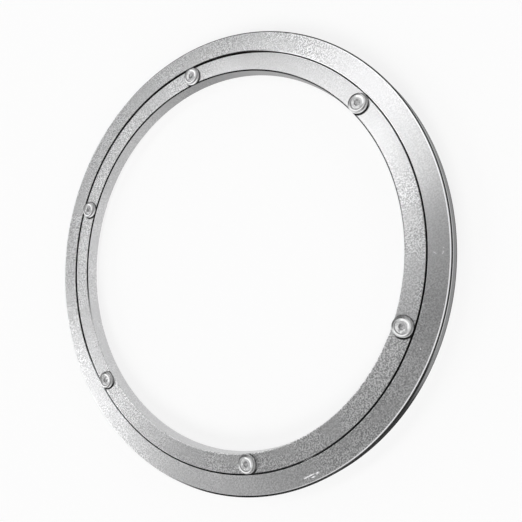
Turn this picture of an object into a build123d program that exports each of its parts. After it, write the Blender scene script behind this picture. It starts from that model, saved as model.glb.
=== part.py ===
from build123d import *
from math import cos, radians, sin
import os

# A turntable ring, often called a lazy susan bearing: two aluminium rings, one inside the other,
# that turn on a single row of steel balls. The inner ring carries the top on six clear bumpers,
# and the outer ring stands on six more of the same bumpers.
# Sizes are in millimetres. The ring's axis is Z, and Z = 0 is the surface that it stands on.

# Rings, from the rim inwards: the outer ring's band, the gap, and the inner ring's band
outer_diameter = 300.0
outer_band_width = 13.1
ring_gap = 0.8
inner_band_width = 12.1
ring_height = 9.3
rim_radius = 0.9
edge_chamfer = 0.3

# Ball race, half in each ring
ball_diameter = 4.76
ball_count = 36
race_clearance = 0.05

# Cage, a punched strip that stands in the gap between the rings
cage_clearance = 0.15
cage_margin = 0.7
window_clearance = 0.1
cage_end_gap = 0.8

# Plug in the hole that the balls go in through
fill_hole_clearance = 0.12
plug_clearance = 0.02
plug_angle = 120.0

# Clear bumpers, pushed into the rings by their stems
bumper_count = 6
bumper_diameter = 12.0
bumper_taper = 0.3
bumper_height = 2.7
bumper_edge_radius = 0.7
bumper_land = 0.8
dish_depth = 0.3
dish_slope = 0.4
dimple_diameter = 3.6
dimple_depth = 0.4
stem_diameter = 4.2
stem_length = 4.0
stem_chamfer = 0.4
stem_clearance = 0.05
stem_end_clearance = 0.3
foot_start_angle = 30.0

# Heights, from the surface up
ring_bottom = bumper_height
ring_top = ring_bottom + ring_height
race_level = ring_bottom + ring_height / 2

# Radii
outer_radius = outer_diameter / 2
gap_outer_radius = outer_radius - outer_band_width
gap_inner_radius = gap_outer_radius - ring_gap
bore_radius = gap_inner_radius - inner_band_width
ball_circle_radius = (gap_inner_radius + gap_outer_radius) / 2
race_radius = ball_diameter / 2 + race_clearance
window_radius = ball_diameter / 2 + window_clearance
fill_hole_radius = ball_diameter / 2 + fill_hole_clearance
stem_hole_radius = stem_diameter / 2 + stem_clearance
stem_hole_depth = stem_length + stem_end_clearance
pad_circle_radius = (bore_radius + gap_inner_radius) / 2
foot_circle_radius = (gap_outer_radius + outer_radius) / 2

os.makedirs("parts", exist_ok=True)

# The inner ring's section: a flat band with its half of the ball race in the outer wall.
with BuildSketch(Plane.XZ) as inner_section:
    with Locations((pad_circle_radius, race_level)):
        Rectangle(inner_band_width, ring_height)
    chamfer(inner_section.vertices(), edge_chamfer)
    with Locations((ball_circle_radius, race_level)):
        Circle(race_radius, mode=Mode.SUBTRACT)

# The outer ring's section: the other half of the race, and rounded edges at the rim.
with BuildSketch(Plane.XZ) as outer_section:
    with Locations((foot_circle_radius, race_level)):
        Rectangle(outer_band_width, ring_height)
    fillet(outer_section.vertices().sort_by(Axis.X)[-2:], rim_radius)
    chamfer(outer_section.vertices().sort_by(Axis.X)[:2], edge_chamfer)
    with Locations((ball_circle_radius, race_level)):
        Circle(race_radius, mode=Mode.SUBTRACT)

# Inner ring, with a blind hole in its top face for the stem of each pad.
with BuildPart() as inner_ring:
    revolve(inner_section.sketch, axis=Axis.Z)
    with BuildSketch(Plane.XY.offset(ring_top)):
        with PolarLocations(pad_circle_radius, bumper_count):
            Circle(stem_hole_radius)
    extrude(amount=-stem_hole_depth, mode=Mode.SUBTRACT)
inner_ring.part.label = "inner_ring"
export_step(inner_ring.part, "parts/inner_ring.step")

# The filling hole runs level from the race out through the rim, in line with one of the balls.
fill_direction = Vector(cos(radians(plug_angle)), sin(radians(plug_angle)), 0)
fill_plane = Plane(
    origin=fill_direction * ball_circle_radius + Vector(0, 0, race_level),
    x_dir=(0, 0, 1),
    z_dir=fill_direction,
)

# Outer ring, with the filling hole and a blind hole in its underside for the stem of each foot.
with BuildPart() as outer_ring:
    revolve(outer_section.sketch, axis=Axis.Z)
    with BuildSketch(Plane.XY.offset(ring_bottom)):
        with PolarLocations(foot_circle_radius, bumper_count, start_angle=foot_start_angle):
            Circle(stem_hole_radius)
    extrude(amount=stem_hole_depth, mode=Mode.SUBTRACT)
    with BuildSketch(fill_plane):
        Circle(fill_hole_radius)
    extrude(amount=outer_radius - ball_circle_radius, mode=Mode.SUBTRACT)
outer_ring.part.label = "outer_ring"
export_step(outer_ring.part, "parts/outer_ring.step")

# Plug of the filling hole: turned with the ring, so that its ends follow the rim and the race.
with BuildPart() as fill_plug:
    with BuildSketch(fill_plane):
        Circle(fill_hole_radius - plug_clearance)
    extrude(amount=outer_radius - ball_circle_radius)
    revolve(outer_section.sketch, axis=Axis.Z, mode=Mode.INTERSECT)
fill_plug.part.label = "fill_plug"
export_step(fill_plug.part, "parts/fill_plug.step")

# Balls, evenly spaced round the race.
with BuildPart(Plane.XY.offset(race_level)) as balls:
    with PolarLocations(ball_circle_radius, ball_count):
        Sphere(ball_diameter / 2)
balls.part.label = "balls"
export_step(balls.part, "parts/balls.step")

# Cage: a strip with a round window for each ball, closed on itself with a small gap at its ends.
cage_thickness = ring_gap - 2 * cage_clearance
cage_height = 2 * (window_radius + cage_margin)
with BuildPart(Plane.XY.offset(race_level)) as ball_cage:
    with BuildSketch(Plane.XZ):
        with Locations((ball_circle_radius, race_level)):
            Rectangle(cage_thickness, cage_height)
    revolve(axis=Axis.Z)
    with PolarLocations(ball_circle_radius, ball_count):
        Cylinder(window_radius, 2 * cage_thickness, rotation=(0, 90, 0), mode=Mode.SUBTRACT)
    with PolarLocations(ball_circle_radius, 1, start_angle=180 / ball_count):
        Box(2 * cage_thickness, cage_end_gap, 2 * cage_height, mode=Mode.SUBTRACT)
ball_cage.part.label = "ball_cage"
export_step(ball_cage.part, "parts/ball_cage.step")

# Bumpers: the pads look up from the inner ring, and the feet look down from the outer ring.
# The profile runs from the stem's end, round the head, to the dimple in the middle of the dish.
base_radius = bumper_diameter / 2
top_radius = base_radius - bumper_taper
stem_radius = stem_diameter / 2
dish_radius = top_radius - bumper_edge_radius - bumper_land
dimple_radius = dimple_diameter / 2
dish_floor = bumper_height - dish_depth
bumper_sets = [
    ("pad", pad_circle_radius, ring_top, 0.0, 1),
    ("foot", foot_circle_radius, ring_bottom, foot_start_angle, -1),
]
for kind, circle_radius, seat_level, start_angle, facing in bumper_sets:
    for number in range(bumper_count):
        angle = radians(start_angle + number * 360 / bumper_count)
        seat = Vector(circle_radius * cos(angle), circle_radius * sin(angle), seat_level)
        profile_plane = Plane(
            origin=seat,
            x_dir=(cos(angle), sin(angle), 0),
            z_dir=(facing * sin(angle), -facing * cos(angle), 0),
        )
        with BuildPart() as bumper:
            with BuildSketch(profile_plane):
                with BuildLine():
                    stem_and_base = Polyline(
                        (0, -stem_length),
                        (stem_radius - stem_chamfer, -stem_length),
                        (stem_radius, stem_chamfer - stem_length),
                        (stem_radius, 0),
                        (base_radius, 0),
                        (top_radius, bumper_height - bumper_edge_radius),
                    )
                    edge = RadiusArc(
                        stem_and_base @ 1,
                        (top_radius - bumper_edge_radius, bumper_height),
                        -bumper_edge_radius,
                    )
                    Polyline(
                        edge @ 1,
                        (dish_radius, bumper_height),
                        (dish_radius - dish_slope, dish_floor),
                        (dimple_radius, dish_floor),
                        (dimple_radius, dish_floor - dimple_depth),
                        (0, dish_floor - dimple_depth),
                        stem_and_base @ 0,
                    )
                make_face()
            revolve(axis=Axis(seat, (0, 0, 1)))
        name = f"{kind}_{number + 1}"
        bumper.part.label = name
        export_step(bumper.part, f"parts/{name}.step")
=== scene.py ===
from math import asin, cos, pi, radians, sin

import bmesh
import bpy
from mathutils import Matrix, Vector


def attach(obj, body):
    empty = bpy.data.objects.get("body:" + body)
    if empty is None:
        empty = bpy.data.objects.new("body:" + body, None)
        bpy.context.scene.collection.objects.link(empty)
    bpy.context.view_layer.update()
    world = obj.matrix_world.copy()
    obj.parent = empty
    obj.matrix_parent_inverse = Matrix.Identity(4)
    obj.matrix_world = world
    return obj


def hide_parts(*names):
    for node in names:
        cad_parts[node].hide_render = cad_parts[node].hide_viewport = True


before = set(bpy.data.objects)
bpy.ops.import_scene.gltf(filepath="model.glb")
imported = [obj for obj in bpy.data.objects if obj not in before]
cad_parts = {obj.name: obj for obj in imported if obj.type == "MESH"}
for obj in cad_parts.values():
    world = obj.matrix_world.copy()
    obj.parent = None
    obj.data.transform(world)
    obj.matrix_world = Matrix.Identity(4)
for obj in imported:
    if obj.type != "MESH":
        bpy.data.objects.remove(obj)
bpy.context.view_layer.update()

# Outer ring: sawn and turned from aluminium plate, then blasted with fine beads and clear anodised,
# which leaves a silvery satin face with a fine grain. Its edges are broken, and it has a few scratches
# from handling. It stands still and carries the feet, the filling plug and half of the ball race.


class Wire:
    """A socket of a material's nodes. Arithmetic on wires adds the Math nodes that it needs."""

    def __init__(self, tree, socket=None):
        self.tree = tree
        self.socket = socket

    def add(self, kind, settings=None, sockets=None, output=0):
        """Adds any other node: its settings first, then the values or links of its sockets."""
        node = self.tree.nodes.new(kind)
        for name, value in (settings or {}).items():
            setattr(node, name, value)
        for name, value in (sockets or {}).items():
            if isinstance(value, Wire):
                self.tree.links.new(value.socket, node.inputs[name])
            else:
                node.inputs[name].default_value = value
        return Wire(self.tree, node.outputs[output] if len(node.outputs) else None)

    def math(self, operation, *others):
        sockets = dict(enumerate((self, *others)))
        return self.add("ShaderNodeMath", {"operation": operation}, sockets)

    def __add__(self, other):
        return self.math("ADD", other)

    def __sub__(self, other):
        return self.math("SUBTRACT", other)

    def __mul__(self, other):
        return self.math("MULTIPLY", other)

    def __truediv__(self, other):
        return self.math("DIVIDE", other)

    def __rsub__(self, other):
        return self.add("ShaderNodeMath", {"operation": "SUBTRACT"}, {0: other, 1: self})

    __radd__ = __add__
    __rmul__ = __mul__

    def vector(self, operation, *others, output="Vector"):
        sockets = dict(enumerate((self, *others)))
        return self.add("ShaderNodeVectorMath", {"operation": operation}, sockets, output)

    def dot(self, direction):
        """How far a place lies in a direction."""
        return self.vector("DOT_PRODUCT", direction, output="Value")

    def length(self):
        return self.vector("LENGTH", output="Value")

    def level(self):
        """The height of a place."""
        return self.add("ShaderNodeSeparateXYZ", {}, {0: self}, "Z")

    def fade(self, low, high):
        """0 below low and 1 above high, or the other way round, with a smooth change between them."""
        sockets = {"Value": self, "From Min": low, "From Max": high}
        return self.add("ShaderNodeMapRange", {"interpolation_type": "SMOOTHSTEP"}, sockets)

    def noise(self, scale, detail=2.0):
        """Random grey at this place, with so many waves to the metre."""
        return self.add("ShaderNodeTexNoise", {}, {"Vector": self, "Scale": scale, "Detail": detail})

    def blend(self, first, second):
        """A colour between two others, as this wire goes from 0 to 1."""
        first, second = (c if isinstance(c, Wire) else (*c, 1) for c in (first, second))
        return self.add("ShaderNodeMix", {"data_type": "RGBA"}, {0: self, 6: first, 7: second}, 2)

    def mix(self, first, second):
        """A surface between two others, as this wire goes from 0 to 1."""
        return self.add("ShaderNodeMixShader", {}, {0: self, 1: first, 2: second})


def new_material(name):
    """An empty material, with a wire to start its nodes from and the place on the piece."""
    material = bpy.data.materials.new(name)
    material.use_nodes = True
    material.node_tree.nodes.clear()
    start = Wire(material.node_tree)
    return material, start, start.add("ShaderNodeTexCoord", output="Object")


def principled(start, sockets):
    return start.add("ShaderNodeBsdfPrincipled", {}, sockets)


def finish_material(start, surface):
    """Ends a material in its surface."""
    start.add("ShaderNodeOutputMaterial", {}, {"Surface": surface})


def towards(bearing, elevation=0):
    """The direction at a bearing round the ring and at an elevation, both in degrees."""
    bearing, elevation = radians(bearing), radians(elevation)
    return Vector((cos(bearing) * cos(elevation), sin(bearing) * cos(elevation), sin(elevation)))


mm = 0.001
cad_rim_radius = 150.0 * mm
outer_gap_radius = 136.9 * mm
ring_gap = 0.8 * mm
ring_bottom = 2.7 * mm
ring_top = 12.0 * mm
satin_light = (0.87, 0.87, 0.875)
satin_dark = (0.36, 0.36, 0.365)
bare_or_highlight_white = (0.95, 0.95, 0.96)
# How much less a scratch or a painted highlight mirrors, so that it looks white from every side.
bare_or_highlight_loss = 0.8
# The colour of the painted shade on the rings.
shade_black = (0.012, 0.012, 0.012, 1)
# How far the sides of a band of painted shade or highlight fade out, across the ring and up its wall.
band_blur = 0.05 * mm
band_blur_upright = 0.1 * mm
# The painted shadow by a pad: a crescent on one side of it, and a ring under its edge, from full to gone.
pad_radius = 6.0 * mm
shadow_side = towards(-112)
shadow_crescent_reach = 6.8 * mm, 7.4 * mm
shadow_ring_reach = 6.3 * mm, 6.6 * mm


def stretch(flat, radius, bearing, full, gone):
    """1 up to so many degrees either side of a bearing round the ring, and 0 from where it is gone."""
    return (flat.dot(towards(bearing)) / radius).fade(cos(radians(gone)), cos(radians(full)))


def satin_aluminium(name, grain_depth, patches=(), bands=(), marks=(), seats=()):
    """Bead-blasted, anodised aluminium, with sizes in mm. A stretch is a bearing round the ring, and
    how many degrees either side of it the thing is still full and has quite gone.
    Patches: how many times as deep the grain is, and the stretch.
    Bands: inner and outer radius, low and high level, how dark the band's painted shade is or, below zero,
    how bright its painted highlight is, and the stretch, or None all the way round.
    Marks: x and y of both ends of each scratch, and half its width.
    Seats: the middles of the pads, in metres, round which a shadow is painted."""
    material, start, place = new_material(name)
    blotches = place.noise(45)
    grain = place.noise(1150)
    fine_grain = place.noise(3000)
    level = place.level()
    on_wall = level.fade(ring_bottom + 0.3 * mm, ring_bottom + 0.6 * mm)
    on_wall = on_wall * level.fade(ring_top - 0.3 * mm, ring_top - 0.6 * mm)
    on_face = level.fade(ring_top - 0.2 * mm, ring_top - 0.1 * mm)
    depth = grain_depth * (0.35 + blotches.fade(0.35, 0.6) * 0.65) * (1 - on_wall * 0.6)
    flat = place.vector("MULTIPLY", (1, 1, 0))
    radius = flat.length()
    for times, *around in patches:
        depth = depth * (1 + stretch(flat, radius, *around) * (times - 1))
    grey = 0.5 + (grain.fade(0.32, 0.68) - 0.5) * depth + (blotches - 0.5) * 0.12
    colour = grey.blend(satin_dark, satin_light)
    roughness = 0.28 + grain * 0.04 + blotches * 0.03
    height = (grain + fine_grain * 0.25) * depth
    metallic = 1.0
    unshaded = 1.0
    # Each band is painted shade, dark and matte, or a painted highlight, white and mirroring less.
    for inner, outer, low, high, shade_or_highlight, around in bands:
        across = (radius - (inner + outer) / 2 * mm).math("ABSOLUTE")
        upright = (level - (low + high) / 2 * mm).math("ABSOLUTE")
        half_width, half_height = (outer - inner) / 2 * mm, (high - low) / 2 * mm
        band = across.fade(half_width + band_blur, half_width)
        band = band * upright.fade(half_height + band_blur_upright, half_height) * abs(shade_or_highlight)
        if around:
            band = band * stretch(flat, radius, *around)
        if shade_or_highlight > 0:
            unshaded = unshaded * (1 - band)
        else:
            colour = band.blend(colour, bare_or_highlight_white)
            metallic = metallic - band * bare_or_highlight_loss
    # A painted shadow round each pad: a crescent on one side and a ring under its edge.
    for seat in seats:
        offset = flat.vector("SUBTRACT", seat)
        distance = offset.length()
        crescent = distance.fade(shadow_crescent_reach[1], shadow_crescent_reach[0])
        crescent = crescent * (offset.dot(shadow_side) / pad_radius).fade(0.35, 0.8) * 0.97
        shadow_ring = distance.fade(shadow_ring_reach[1], shadow_ring_reach[0]) * 0.75
        unshaded = unshaded * (1 - crescent.math("MAXIMUM", shadow_ring) * on_face)
    for x_1, y_1, x_2, y_2, half_width in marks:
        first, last = Vector((x_1, y_1, 0)) * mm, Vector((x_2, y_2, 0)) * mm
        along = (last - first).normalized()
        beside = Vector((-along.y, along.x, 0))
        offset = flat.vector("SUBTRACT", (first + last) / 2)
        lengthwise = offset.dot(along) / ((last - first).length / 2 + half_width * mm)
        ragged = (grain - 0.5) * 0.6 * mm
        sideways = (offset.dot(beside) + ragged) / (half_width * mm)
        mark = (lengthwise * lengthwise + sideways * sideways).fade(1.0, 0.3) * on_face
        colour = mark.blend(colour, bare_or_highlight_white)
        metallic = metallic - mark * bare_or_highlight_loss
        height = height - mark * 2.0
    bump = start.add("ShaderNodeBump", {}, {"Height": height, "Strength": 0.5, "Distance": 0.05 * mm})
    metal = {"Base Color": colour, "Metallic": metallic, "Roughness": roughness, "Normal": bump}
    # The painted shade: a dark matte surface mixed over the metal.
    painted_shade = {"Base Color": shade_black, "Roughness": 0.9, "Specular IOR Level": 0.0}
    finish_material(start, (1 - unshaded).mix(principled(start, metal), principled(start, painted_shade)))
    return material


race_level = (ring_bottom + ring_top) / 2
race_circle = outer_gap_radius - ring_gap / 2
race_radius = 2.43 * mm
race_steps = 12
ring_steps = 288


def spin_round(build, steps):
    """Turns an open section into a closed body about the upright axis."""
    bmesh.ops.spin(
        build,
        geom=build.verts[:] + build.edges[:],
        cent=(0, 0, 0),
        axis=(0, 0, 1),
        angle=2 * pi,
        steps=steps,
        use_merge=True,
    )
    bmesh.ops.remove_doubles(build, verts=build.verts, dist=0.001 * mm)


def corner_circle(build, radius, level):
    """The edges of a turned body that lie on one of its corners."""
    near = 0.01 * mm
    return [
        e
        for e in build.edges
        if all(abs(v.co.xy.length - radius) < near and abs(v.co.z - level) < near for v in e.verts)
    ]


def round_off(build, corner, rounding, steps):
    bmesh.ops.bevel(
        build,
        geom=corner,
        offset=rounding,
        affect="EDGES",
        segments=steps,
        profile=0.5,
        material=-1,
    )


def turned_ring(inner_radius, outer_radius, race_side, rounded_corners):
    """A ring spun from its section, with the ball race in the wall at the race side's radius. Its
    corners are given as radius, level, rounding and steps."""
    build = bmesh.new()
    half_race = (race_radius**2 - (race_circle - race_side) ** 2) ** 0.5
    upper_or_lower = 1 if race_side > race_circle else -1
    begin = build.verts.new((race_side, 0, race_level + upper_or_lower * half_race))
    bmesh.ops.spin(
        build,
        geom=[begin],
        cent=(race_circle, 0, race_level),
        axis=(0, 1, 0),
        angle=2 * asin(half_race / race_radius),
        steps=race_steps,
    )
    build.verts.ensure_lookup_table()
    race_ends = [v for v in build.verts if len(v.link_edges) == 1]
    race_ends.sort(key=lambda v: v.co.z)
    other_side = inner_radius if race_side == outer_radius else outer_radius
    corners = [
        build.verts.new((race_side, 0, ring_bottom)),
        build.verts.new((other_side, 0, ring_bottom)),
        build.verts.new((other_side, 0, ring_top)),
        build.verts.new((race_side, 0, ring_top)),
    ]
    section = [race_ends[0], *corners, race_ends[1]]
    for first, last in zip(section, section[1:]):
        build.edges.new((first, last))
    spin_round(build, ring_steps)
    bmesh.ops.recalc_face_normals(build, faces=build.faces)
    for radius, level, rounding, steps in rounded_corners:
        round_off(build, corner_circle(build, radius, level), rounding, steps)
    return build


def put_in_scene(name, data):
    thing = bpy.data.objects.new(name, data)
    bpy.context.scene.collection.objects.link(thing)
    return thing


def put_mesh_in_scene(name, build):
    mesh = bpy.data.meshes.new(name)
    build.to_mesh(mesh)
    build.free()
    return put_in_scene(name, mesh)


def shown_piece(name, build, material, body, node):
    """Makes the finished mesh a piece of the object that stands for its node."""
    for face in build.faces:
        face.smooth = True
    piece = put_mesh_in_scene(name, build)
    piece.data.materials.append(material)
    even = piece.modifiers.new("even_shading", "WEIGHTED_NORMAL")
    even.weight = 100
    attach(piece, body)
    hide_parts(node)
    return piece


def add_round_bar(build, middle, direction, radius, length, steps):
    turn = direction.to_track_quat("Z", "Y").to_matrix().to_4x4()
    bmesh.ops.create_cone(
        build,
        cap_ends=True,
        segments=steps,
        radius1=radius,
        radius2=radius,
        depth=length,
        matrix=Matrix.Translation(middle) @ turn,
    )


def drill(piece, holes):
    """Cuts round holes into a piece. Each hole is the middle of its mouth, the direction that it is
    drilled in, its radius and its depth."""
    overshoot = 1.0 * mm
    drills = bmesh.new()
    for mouth, direction, radius, depth in holes:
        middle = mouth + direction * (depth - overshoot) / 2
        add_round_bar(drills, middle, direction, radius, depth + overshoot, steps=48)
    cutter = put_mesh_in_scene("cutter", drills)
    cut = piece.modifiers.new("holes", "BOOLEAN")
    cut.operation = "DIFFERENCE"
    cut.solver = "EXACT"
    cut.object = cutter
    piece.modifiers.move(1, 0)
    piece.modifiers["even_shading"].show_viewport = False
    cut_piece = piece.evaluated_get(bpy.context.evaluated_depsgraph_get())
    drilled = bpy.data.meshes.new_from_object(cut_piece)
    piece.modifiers["even_shading"].show_viewport = True
    piece.modifiers.remove(cut)
    bpy.data.objects.remove(cutter)
    build = bmesh.new()
    build.from_mesh(drilled)
    bmesh.ops.remove_doubles(build, verts=build.verts, dist=0.002 * mm)
    build.to_mesh(drilled)
    build.free()
    piece.data = drilled


# The rim is a hair inside the CAD's, so that the ring stays in the CAD's box.
rim_radius = cad_rim_radius - 0.015 * mm
outer_corners = [
    (rim_radius, ring_top, 0.9 * mm, 8),
    (rim_radius, ring_bottom, 0.9 * mm, 8),
    (outer_gap_radius, ring_top, 0.3 * mm, 3),
    (outer_gap_radius, ring_bottom, 0.3 * mm, 3),
]
outer_patches = [
    (0.35, -15, 25, 42),
    (1.8, 30, 8, 24),
    (1.25, 92, 20, 40),
    (2.2, 150, 15, 34),
    (0.6, -120, 12, 26),
    (1.5, -90, 8, 20),
]
outer_bands = [
    # Painted shade on the wall of the gap and on its upper edge on one side of the ring, and a painted
    # highlight on that edge on the other.
    (136.8, 137.0, 0.0, 11.3, 1.0, None),
    (136.8, 137.55, 11.2, 12.1, 0.97, (103, 60, 76)),
    (136.8, 137.35, 11.5, 12.1, -0.95, (8, 16, 30)),
    # The rim's upper edge: a painted highlight along the face, with painted shade below it.
    (148.4, 149.05, 11.8, 12.1, -0.95, (-45, 50, 78)),
    (149.1, 149.85, 11.0, 12.1, 0.92, (8, 68, 80)),
    (149.05, 150.2, 10.9, 12.1, 0.97, (-100, 32, 42)),
    (148.8, 149.2, 11.7, 12.1, 0.97, (-118, 16, 30)),
    # Painted shade on the rim's lower edge and, less so, on its wall.
    (149.0, 150.2, 2.6, 4.6, 0.92, None),
    (149.9, 150.2, 4.6, 10.8, 0.6, None),
    (149.9, 150.2, 4.6, 10.9, 0.85, (-92, 15, 25)),
    (149.9, 150.2, 4.4, 6.4, 0.85, (-92, 13, 25)),
    (149.9, 150.2, 4.6, 10.8, 0.6, (12, 14, 32)),
    # Faint painted shade on stretches of the face.
    (137.2, 148.4, 11.9, 12.1, 0.15, (-72, 35, 55)),
    (137.2, 148.4, 11.9, 12.1, 0.2, (-47, 5, 22)),
    (137.2, 148.4, 11.9, 12.1, 0.12, (98, 48, 65)),
]
outer_marks = [
    # A row of scratches on one side of the face.
    (-37.8, -140.2, -33.6, -141.2, 0.35),
    (-34.2, -141.0, -30.1, -141.8, 0.4),
    (-33.0, -142.6, -30.6, -143.1, 0.3),
    (-29.5, -142.5, -27.2, -142.6, 0.35),
    (-21.0, -144.4, -20.6, -144.3, 0.35),
    # Specks on the rest of the face.
    (103.7, -93.7, 104.1, -95.7, 0.35),
    (107.9, -97.2, 106.2, -97.9, 0.4),
    (108.9, -95.8, 109.1, -95.7, 0.4),
    (89.1, -117.9, 89.3, -117.7, 0.3),
    (64.3, -127.5, 64.5, -127.3, 0.4),
    (80.8, -110.9, 81.0, -110.7, 0.3),
    (77.5, -113.5, 77.7, -113.3, 0.3),
]
outer_ring = shown_piece(
    "outer_ring_turned",
    turned_ring(outer_gap_radius, rim_radius, outer_gap_radius, outer_corners),
    satin_aluminium("outer_ring_satin", 0.85, outer_patches, outer_bands, outer_marks),
    "outer",
    "outer_ring",
)
# Its holes: a blind one in the underside for each foot, and a level one from the rim to the race.
upwards = Vector((0, 0, 1))
stem_hole = 2.15 * mm, 4.3 * mm
plug_hole = 2.5 * mm, 12.5 * mm
feet_circle = (outer_gap_radius + cad_rim_radius) / 2
foot_bearings = [30 + 60 * number for number in range(6)]
foot_seats = [towards(bearing) * feet_circle + upwards * ring_bottom for bearing in foot_bearings]
plug_direction = towards(120)
plug_mouth = plug_direction * rim_radius + upwards * race_level
drill(
    outer_ring,
    [(seat, upwards, *stem_hole) for seat in foot_seats] + [(plug_mouth, -plug_direction, *plug_hole)],
)

# Inner ring: made as the outer ring is, from the plate left inside it, so it has the same finish.
# It turns in the outer ring on the balls, and six blind holes in its face hold the pads.
bore_radius = 124.0 * mm
inner_gap_radius = outer_gap_radius - ring_gap
inner_corners = [
    (bore_radius, ring_top, 0.55 * mm, 4),
    (bore_radius, ring_bottom, 0.3 * mm, 3),
    (inner_gap_radius, ring_top, 0.3 * mm, 3),
    (inner_gap_radius, ring_bottom, 0.3 * mm, 3),
]
inner_patches = [(0.75, -22, 14, 30), (0.3, 17, 32, 44), (1.2, 120, 20, 40)]
inner_bands = [
    # Painted shade on the wall of the gap and on its upper edge over most of the ring, and a painted
    # highlight on that edge on the rest.
    (136.0, 136.2, 0.0, 11.3, 1.0, None),
    (135.8, 136.2, 11.2, 12.1, 0.97, (-82, 37, 78)),
    (135.6, 136.2, 11.2, 12.1, 0.97, (103, 60, 76)),
    (135.7, 136.2, 11.5, 12.1, -0.95, (8, 16, 30)),
    # Painted shade on the bore's upper edge and, less so, on its wall.
    (123.9, 124.55, 11.45, 12.1, 0.95, (73, 37, 78)),
    (123.9, 124.8, 11.9, 12.1, 0.95, (23, 37, 78)),
    (123.9, 124.85, 11.3, 12.1, 0.97, (115, 28, 48)),
    (123.9, 124.1, 2.6, 11.3, 0.42, (15, 37, 78)),
    (123.9, 124.1, 2.6, 11.3, 0.18, (80, 20, 45)),
    # Faint painted shade on stretches of the face.
    (124.8, 135.7, 11.9, 12.1, 0.12, (-150, 37, 78)),
    (124.8, 135.7, 11.9, 12.1, 0.14, (18, 15, 30)),
]
pads_circle = (bore_radius + inner_gap_radius) / 2
pad_bearings = [60 * number for number in range(6)]
pad_seats = [towards(bearing) * pads_circle for bearing in pad_bearings]
inner_ring = shown_piece(
    "inner_ring_turned",
    turned_ring(bore_radius, inner_gap_radius, inner_gap_radius, inner_corners),
    satin_aluminium("inner_ring_satin", 1.2, inner_patches, inner_bands, seats=pad_seats),
    "inner",
    "inner_ring",
)
downwards = Vector((0, 0, -1))
drill(inner_ring, [(seat + upwards * ring_top, downwards, *stem_hole) for seat in pad_seats])

# Filling plug: a short aluminium pin pressed into the hole that the balls were put in through, then
# turned off flush with the rim, so that only a fine circle shows.
plug_radius = 2.46 * mm
plug_length = 11.0 * mm
plug_reach = 149.95 * mm
plug_middle = plug_direction * (plug_reach - plug_length / 2) + upwards * race_level
# Its outer end has nearly as much painted shade as the rim round it.
plug_bands = [(149.5, 150.2, 4.0, 11.0, 0.5, None)]
plug_build = bmesh.new()
add_round_bar(plug_build, plug_middle, plug_direction, plug_radius, plug_length, steps=64)
near_rim = plug_reach - 0.5 * mm
rim_end = [e for e in plug_build.edges if all(v.co.xy.length > near_rim for v in e.verts)]
round_off(plug_build, rim_end, 0.15 * mm, 2)
shown_piece(
    "fill_plug_pin",
    plug_build,
    satin_aluminium("plug_satin", 0.7, bands=plug_bands),
    "outer",
    "fill_plug",
)

# Balls: hardened bearing steel, ground and polished, in a thin film of grease. They roll between the
# two halves of the race, evenly spaced.
ball_colour = (0.62, 0.62, 0.63)
grease_colour = (0.55, 0.53, 0.48)


def dress(node, material):
    """Gives a node of the fixed frame its finish."""
    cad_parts[node].data.materials.clear()
    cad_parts[node].data.materials.append(material)


ball_steel, start, place = new_material("ball_steel")
film = place.noise(900).fade(0.45, 0.65)
greased = {
    "Base Color": film.blend(ball_colour, grease_colour),
    "Metallic": 1.0,
    "Roughness": 0.08 + film * 0.12,
    "Coat Weight": film * 0.6,
}
finish_material(start, principled(start, greased))
dress("balls", ball_steel)

# Cage: a strip punched from black nylon sheet, with a round window for each ball, and bent into a
# ring. It stands in the gap between the rings and keeps the balls apart.
cage_black = (0.022, 0.022, 0.024)
cage_scuffed = (0.06, 0.06, 0.062)
cage_nylon, start, place = new_material("cage_nylon")
scuffs = place.noise(600, 4)
bump = start.add("ShaderNodeBump", {}, {"Height": scuffs, "Strength": 0.2, "Distance": 0.02 * mm})
punched = {
    "Base Color": scuffs.fade(0.45, 0.8).blend(cage_black, cage_scuffed),
    "Roughness": 0.45 + scuffs * 0.2,
    "Normal": bump,
}
finish_material(start, principled(start, punched))
dress("ball_cage", cage_nylon)

# Pads and feet: bumpers moulded in clear soft plastic, each with a stem that pushes into a blind
# hole in its ring. The moulding is slightly cloudy, and its head has a dish with a dimple in it.
clear_plastic = (0.97, 0.975, 0.98)
shaded_plastic = (0.1, 0.1, 0.1)
milky_lit_plastic = (0.96, 0.96, 0.965)
bumper_steps = 64
# Half of the section, corner by corner: the radius and the height over the seat, how far the corner
# is rounded, all in mm, and in how many steps.
bumper_section = [
    (0.0, -4.0, 0.0, 0),
    (2.1, -4.0, 0.4, 2),
    (2.1, 0.03, 0.0, 0),
    (6.0, 0.03, 0.1, 2),
    (5.72, 2.7, 0.7, 6),
    (4.2, 2.7, 0.2, 2),
    (3.8, 2.4, 0.2, 2),
    (1.8, 2.4, 0.15, 2),
    (1.8, 2.0, 0.15, 2),
    (0.0, 2.0, 0.0, 0),
]
bumper_clear, start, place = new_material("bumper_clear")
cloud = place.noise(200, 1)
swirls = place.noise(650).fade(0.4, 0.6)
# The material reads four measures off the mesh: the distance from the bumper's axis and the height
# over its seat in mm, and how far towards the lit side and the far side a place is turned, -1 to 1.
bumper_measures = ("from_axis", "over_seat", "light_side", "far_side")
from_axis, over_seat, light_side, far_side = (
    start.add("ShaderNodeAttribute", {"attribute_name": measure}, output="Fac")
    for measure in bumper_measures
)
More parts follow.
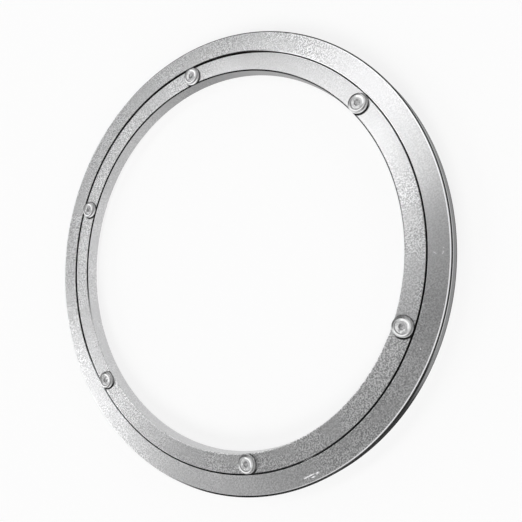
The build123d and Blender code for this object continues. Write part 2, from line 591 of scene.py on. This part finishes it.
# The bumper's parts: its head, the rim round the dish, its wall, the dish's and the dimple's edges,
# the dish's floor, the dimple, and the foot of the wall.
head = over_seat.fade(2.1, 2.4)
rim = head * from_axis.fade(4.2, 4.6)
wall = from_axis.fade(5.4, 5.7) * over_seat.fade(2.3, 1.9)
dish_edge = head * from_axis.fade(3.6, 3.9) * from_axis.fade(4.4, 4.1)
dimple_edge = from_axis.fade(1.4, 1.7) * from_axis.fade(2.2, 1.9) * over_seat.fade(1.8, 2.0)
dish_floor = from_axis.fade(1.5, 1.9) * from_axis.fade(3.9, 3.5) * over_seat.fade(2.15, 2.3)
dimple = from_axis.fade(2.1, 1.5) * over_seat.fade(1.8, 1.95)
foot_edge = from_axis.fade(5.5, 5.7) * over_seat.fade(0.8, 0.4)
# Painted shade: round the head, most on its far side, at its edges, in the dimple with swirls and on the
# wall away from the light, with a painted shadow at the foot of the wall.
outline = from_axis.fade(4.95, 5.2) * over_seat.fade(1.8, 2.1)
outline = outline * (0.9 - 0.5 * light_side.math("ABSOLUTE"))
far_line = from_axis.fade(4.2, 4.8) * over_seat.fade(1.8, 2.1) * far_side.fade(0.1, 0.8) * 0.9
lines = dish_edge * light_side.fade(-0.2, 0.6) * 0.5 + dimple_edge * 0.25
lines = lines + dimple * (0.1 + swirls * 0.55) + outline.math("MAXIMUM", far_line)
lines = lines + wall * light_side.fade(-0.1, -0.9) * 0.45
shade = lines.math("MAXIMUM", foot_edge * 0.95)
# Where it looks milky: a cloudy tone all over, with painted highlights on the lit side of the rim and of
# the wall, a painted glint across the dish, and painted light in swirls on the dish's floor.
glint = from_axis.fade(3.0, 3.4) * from_axis.fade(4.4, 4.2) * light_side.fade(-0.3, -0.8) * 0.9
lit_rim = rim * (0.1 + 0.75 * light_side.fade(-0.5, 0.6)) * (1 - far_side.fade(0.1, 0.8) * 0.6)
lit_floor = dish_floor * light_side.fade(-0.8, 0.8) * swirls * 0.45
lit_wall = wall * (0.25 + 0.5 * light_side.fade(-0.5, 0.3))
milk_and_highlight = (0.3 + cloud * 0.15 + lit_rim + glint + lit_floor + lit_wall) * (1 - foot_edge)
bump = start.add("ShaderNodeBump", {}, {"Height": cloud, "Strength": 0.2, "Distance": 0.05 * mm})
clear = {
    "Base Color": shade.blend(clear_plastic, shaded_plastic),
    "Roughness": 0.04 + cloud * 0.06,
    "IOR": 1.47,
    "Transmission Weight": 1.0,
    "Normal": bump,
}
# The milky surface shows both the cloudy plastic and the painted highlights.
milky_lit_surface = {"Base Color": shade.blend(milky_lit_plastic, shaded_plastic), "Roughness": 0.2, "Normal": bump}
finish_material(start, milk_and_highlight.mix(principled(start, clear), principled(start, milky_lit_surface)))
bumper_sets = [
    ("pad", "inner", pads_circle, ring_top, pad_bearings, 1),
    ("foot", "outer", feet_circle, ring_bottom, foot_bearings, -1),
]
for kind, body, circle, seat_level, bearings, facing in bumper_sets:
    for number, bearing in enumerate(bearings, 1):
        build = bmesh.new()
        corners = [build.verts.new((radius * mm, 0, height * mm)) for radius, height, *_ in bumper_section]
        for first, last in zip(corners, corners[1:]):
            build.edges.new((first, last))
        spin_round(build, bumper_steps)
        for radius, height, rounding, steps in bumper_section:
            if rounding:
                round_off(build, corner_circle(build, radius * mm, height * mm), rounding * mm, steps)
        bmesh.ops.recalc_face_normals(build, faces=build.faces)
        layers = [build.verts.layers.float.new(measure) for measure in bumper_measures]
        for v in build.verts:
            reach = v.co.xy.length
            x_share, y_share = v.co.xy / max(reach, 0.1 * mm)
            for layer, value in zip(layers, (reach / mm, v.co.z / mm, -x_share, y_share)):
                v[layer] = value
        if facing < 0:
            turn_over = Matrix.Rotation(pi, 3, "X")
            bmesh.ops.rotate(build, verts=build.verts, cent=(0, 0, 0), matrix=turn_over)
        seat = towards(bearing) * circle + upwards * seat_level
        bmesh.ops.translate(build, verts=build.verts, vec=seat)
        name = f"{kind}_{number}"
        shown_piece(f"{name}_clear", build, bumper_clear, body, name)

# The table top under the ring, which isn't part of it: a wide white board. What the camera, the metal
# and the clear bumpers see of it is lifted to white, and it keeps the ring's shadow.
board_white = (0.93, 0.93, 0.93)
board_shaded = (0.92, 0.92, 0.92)
board_radius = 4.0
board_drop = Matrix.Translation((0, 0, -0.1 * mm))
build = bmesh.new()
bmesh.ops.create_circle(build, cap_ends=True, segments=96, radius=board_radius, matrix=board_drop)
table_top = put_mesh_in_scene("table_top", build)
board, start, place = new_material("white_board")
board_colour = place.noise(3).blend(board_shaded, board_white)
paint = start.add("ShaderNodeBsdfDiffuse", {}, {"Color": board_colour})
glow = start.add("ShaderNodeEmission", {}, {"Color": (1, 1, 1, 1), "Strength": 1.0})
seen, mirrored, through = (
    start.add("ShaderNodeLightPath", output=ray)
    for ray in ("Is Camera Ray", "Is Glossy Ray", "Is Transmission Ray")
)
lifted = seen.math("MAXIMUM", mirrored).math("MAXIMUM", through)
finish_material(start, (lifted * 0.8).mix(paint, glow))
table_top.data.materials.append(board)

# The studio: a sky that is white low down all round, grey above, and lighter on the side of the
# camera, and soft round lamps a long way off. Clear plastic sees it a little brighter overhead.
sky_grey = 0.24
near_light = 0.45
world = bpy.data.worlds.new("studio")
world.use_nodes = True
world.node_tree.nodes.clear()
start = Wire(world.node_tree)
direction = start.add("ShaderNodeTexCoord", output="Generated")
height = direction.level()
low_wall = height.fade(0.52, 0.27)
near_side = direction.dot(towards(-52)).fade(-0.1, 0.5) * height.fade(0.75, 0.45)
sky = sky_grey + (1 - sky_grey) * low_wall + near_light * near_side * (1 - low_wall)
clear_view = 0.2 + 0.9 * height.fade(0.15, 0.6)
through = start.add("ShaderNodeLightPath", output="Is Transmission Ray")
sky = sky + through * (clear_view - sky)
backdrop = start.add("ShaderNodeBackground", {}, {"Color": (1, 1, 1, 1), "Strength": sky})
start.add("ShaderNodeOutputWorld", {}, {"Surface": backdrop})
bpy.context.scene.world = world

# Each lamp's bearing and elevation in degrees, how wide it looks in degrees, and the light that it
# throws on a surface that faces it, where 1 lights white to white.
lamps = [
    ("low_left", 157.1, 30, 12, 0.085),
    ("left", 148.1, 35, 12, 0.035),
    ("lower_left", 175.1, 50, 12, 0.006),
    ("upper_left", 130.1, 50, 12, 0.028),
    ("far_left", 112.1, 58, 12, 0.084),
    ("far", 76.1, 60, 12, 0.053),
    ("overhead", -31.9, 72, 24, 0.06),
    ("near", -133.9, 47, 30, 0.4),
]
for name, bearing, elevation, width, strength in lamps:
    lamp = bpy.data.lights.new(f"lamp_{name}", "SUN")
    lamp.energy = strength * pi
    lamp.angle = radians(width)
    holder = put_in_scene(f"lamp_{name}", lamp)
    holder.rotation_euler = towards(bearing, elevation).to_track_quat("Z", "Y").to_euler()

# The camera looks down on the ring's face from the photograph's place, with its tilt and its lens.
# They are those at which the ring's circles fall on the circles in the photograph.
eye = Vector((144.51, -173.97, 317.27)) * mm
aim = Vector((22.5, -24.13, 12.0)) * mm
image_up = Vector((0.68306, 0.72562, 0.08317))
lens = bpy.data.cameras.new("camera")
lens.lens = 39.919
lens.sensor_width = 36.0
lens.clip_start = 0.01
camera = put_in_scene("camera", lens)
back = (eye - aim).normalized()
right = image_up.cross(back).normalized()
turn = Matrix((right, back.cross(right), back)).transposed()
camera.matrix_world = Matrix.Translation(eye) @ turn.to_4x4()
bpy.context.scene.camera = camera

bpy.context.scene.view_settings.view_transform = "Standard"
